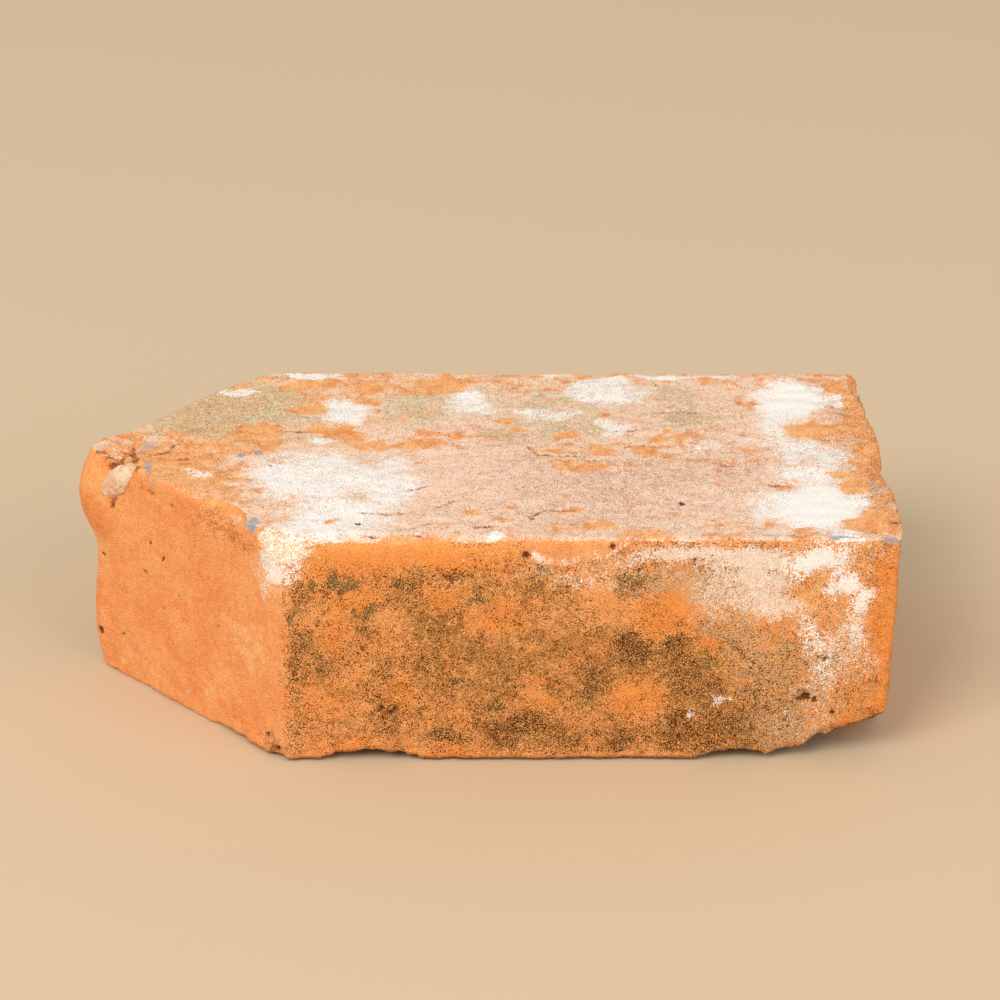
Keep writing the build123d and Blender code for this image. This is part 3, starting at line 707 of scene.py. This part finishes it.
tree.links.new(colour, finish.inputs["Base Color"])
finish.inputs["Roughness"].default_value = 0.92
finish.inputs["Specular IOR Level"].default_value = 0.25

# The grain stands up by about a tenth of a millimetre, which dulls the clay without darkening it.
GRAIN_HEIGHT = 0.1
height = add(tree, "ShaderNodeMath", {
    0: fields["blotchy"], 1: 0.8, 2: fields["sandy"]}, operation="MULTIPLY_ADD")
bump = add(tree, "ShaderNodeBump", {
    "Height": height.outputs[0], "Distance": GRAIN_HEIGHT / MM_PER_METRE, "Strength": 1.0})
tree.links.new(bump.outputs[0], finish.inputs["Normal"])

brick_skin = solid_piece("brick_skin", skin, quads, marks)
brick_skin.data.materials.append(clay)
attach(brick_skin, "root")
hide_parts("brick")

# The pebble that was in the clay when it was moulded: a river-worn egg of pale quartzite, sunk in the front
# cant beside the nose, with the clay torn round it.
PEBBLE_HALF = (8.5, 3.8, 4.1)      # half its length, its width across the cant and its thickness
PEBBLE_TILT = 47                   # degrees that its long axis stands above level
PEBBLE_PLACE = on_cant(14, 64.4)
PEBBLE_SUNK = 1.5                  # its middle, behind the face of the cant
PEBBLE_BELOW_TOP = 0.3             # at least
FULLER_END = 0.22
STEPS_AROUND, STEPS_END_TO_END = 96, 64


def egg_grid(around, along):
    """An egg as a grid of turns about its long axis by steps along it, with one point at each end: its half
    width is the sine of the step, times one less a share of the step's cosine, which makes one end the
    fuller."""
    turn = np.linspace(0, 2 * math.pi, around, endpoint=False)
    step = np.linspace(0, math.pi, along + 1)[1:-1]
    half = np.sin(step) * (1 - FULLER_END * np.cos(step))
    rings = np.stack((
        np.broadcast_to(np.cos(step)[:, None], (step.size, around)),
        half[:, None] * np.cos(turn),
        half[:, None] * np.sin(turn),
    ), axis=-1).reshape(-1, 3)
    ring = np.arange(rings.shape[0]).reshape(step.size, around)
    beside = np.roll(ring, -1, axis=1)
    sides = np.stack((ring[:-1], ring[1:], beside[1:], beside[:-1]), axis=-1).reshape(-1, 4)
    first, last = rings.shape[0], rings.shape[0] + 1
    caps = [(first, a, b) for a, b in zip(ring[0], beside[0])]
    caps += [(last, b, a) for a, b in zip(ring[-1], beside[-1])]
    return np.concatenate((rings, [(1, 0, 0), (-1, 0, 0)])), sides.tolist() + caps


tilt = math.radians(PEBBLE_TILT)
long_axis = ALONG_CANT * math.cos(tilt) + np.array((0, 0, math.sin(tilt)))
cross_axis = np.cross(OUT_OF_CANT, long_axis)
pebble_middle = np.array(PEBBLE_PLACE) + OUT_OF_CANT * -PEBBLE_SUNK
egg, egg_faces = egg_grid(STEPS_AROUND, STEPS_END_TO_END)
pebble = pebble_middle + (egg * PEBBLE_HALF) @ np.stack((long_axis, cross_axis, OUT_OF_CANT))
dents = 0.09 * lumps(pebble, 3.6, 60) + 0.06 * lumps(pebble, 1.5, 61, finer=2)
pebble += (pebble - pebble_middle) * dents[:, None]
pebble = np.clip(pebble, LOW, HIGH - (0, 0, PEBBLE_BELOW_TOP))

# Quartzite worn smooth in a river, dull rather than glossy, with pale veins, and clay dust in its dimples.
quartzite = bpy.data.materials.new("river_worn_quartzite")
quartzite.use_nodes = True
tree = quartzite.node_tree
finish = tree.nodes["Principled BSDF"]
place = add(tree, "ShaderNodeTexCoord", {}).outputs["Object"]
VEIN_WIDTH, DIMPLE_WIDTH, DIMPLE_DEPTH = 5, 1.2, 0.8
veins = add(tree, "ShaderNodeTexNoise", {
    "Vector": place, "Scale": MM_PER_METRE / VEIN_WIDTH, "Detail": 5, "Roughness": 0.7}).outputs["Fac"]
dust = add(tree, "ShaderNodeTexNoise", {
    "Vector": place, "Scale": MM_PER_METRE / DIMPLE_WIDTH, "Detail": 4, "Roughness": 0.7}).outputs["Fac"]
veined = add(tree, "ShaderNodeMapRange", {
    0: veins, 1: 0.40, 2: 0.60}, interpolation_type="SMOOTHSTEP").outputs[0]
dusted = add(tree, "ShaderNodeMapRange", {
    0: dust, 1: 0.53, 2: 0.66, 4: 0.7}, interpolation_type="SMOOTHSTEP").outputs[0]
stone = add(tree, "ShaderNodeMix", {0: veined, 6: linear("#e8b48c"), 7: linear("#f8dcc0")}, data_type="RGBA")
dusty = add(tree, "ShaderNodeMix", {0: dusted, 6: stone.outputs[2], 7: linear("#cc8c62")}, data_type="RGBA")
tree.links.new(dusty.outputs[2], finish.inputs["Base Color"])
finish.inputs["Roughness"].default_value = 0.75
finish.inputs["Specular IOR Level"].default_value = 0.35
bump = add(tree, "ShaderNodeBump", {"Height": dust, "Distance": DIMPLE_DEPTH / MM_PER_METRE})
tree.links.new(bump.outputs[0], finish.inputs["Normal"])

pebble_piece = solid_piece("pebble", pebble, egg_faces)
pebble_piece.data.materials.append(quartzite)
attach(pebble_piece, "root")

# Plain pale floor, wide enough to reach past every view, at the level of the lower bed. It is painted matt,
# so that it takes a soft shadow and no reflection. Sizes are in metres from here on.
FLOOR_REACH = 6
floor_mesh = bpy.data.meshes.new("floor")
floor_mesh.from_pydata([
    (-FLOOR_REACH, -FLOOR_REACH, 0), (FLOOR_REACH, -FLOOR_REACH, 0),
    (FLOOR_REACH, FLOOR_REACH, 0), (-FLOOR_REACH, FLOOR_REACH, 0)], [], [(0, 1, 2, 3)])
floor = bpy.data.objects.new("floor", floor_mesh)
bpy.context.scene.collection.objects.link(floor)
pale_paint = bpy.data.materials.new("plain_pale_floor")
pale_paint.use_nodes = True
finish = pale_paint.node_tree.nodes["Principled BSDF"]
finish.inputs["Base Color"].default_value = linear("#d4bd9f")
finish.inputs["Roughness"].default_value = 0.9
finish.inputs["Specular IOR Level"].default_value = 0.2
floor_mesh.materials.append(pale_paint)

# Soft studio light: an even sky, a broad lamp high at the front left and a weaker one at the right, both
# aimed at the middle of the brick. Each lamp has a name, a place, the width of its square and its power in
# watts.
world = bpy.data.worlds.new("studio")
bpy.context.scene.world = world
world.use_nodes = True
sky = world.node_tree.nodes["Background"]
sky.inputs["Color"].default_value = linear("#fffcf7")
sky.inputs["Strength"].default_value = 0.6
LAMPS = (
    ("key", (-1.5, -2.0, 2.4), 1.6, 75),
    ("fill", (1.9, -1.7, 1.6), 1.8, 20),
)
BRICK_MIDDLE = np.array((0, 0, 0.035))
for name, spot, width, power in LAMPS:
    lamp = bpy.data.lights.new(name, "AREA")
    lamp.energy = power
    lamp.size = width
    lamp.color = linear("#fffaf2")[:3]
    stand = bpy.data.objects.new(name, lamp)
    toward = BRICK_MIDDLE - spot
    stand.location = spot
    stand.rotation_euler = (
        math.atan2(math.hypot(*toward[:2]), -toward[2]), 0, math.atan2(-toward[0], toward[1]))
    bpy.context.scene.collection.objects.link(stand)

# Camera at the photograph's angle: in front of the stretcher face, left of its middle, looking down on it
# with a long lens from just under a metre away.
lens = bpy.data.cameras.new("camera")
lens.lens = 115.6
lens.sensor_width = 36
lens.clip_start = 0.01
camera = bpy.data.objects.new("camera", lens)
camera.location = (-0.028466, -0.830248, 0.478405)
camera.rotation_euler = [math.radians(turn) for turn in (62.997, -0.995, -1.856)]
bpy.context.scene.collection.objects.link(camera)
bpy.context.scene.camera = camera
bpy.context.scene.view_settings.view_transform = "Standard"
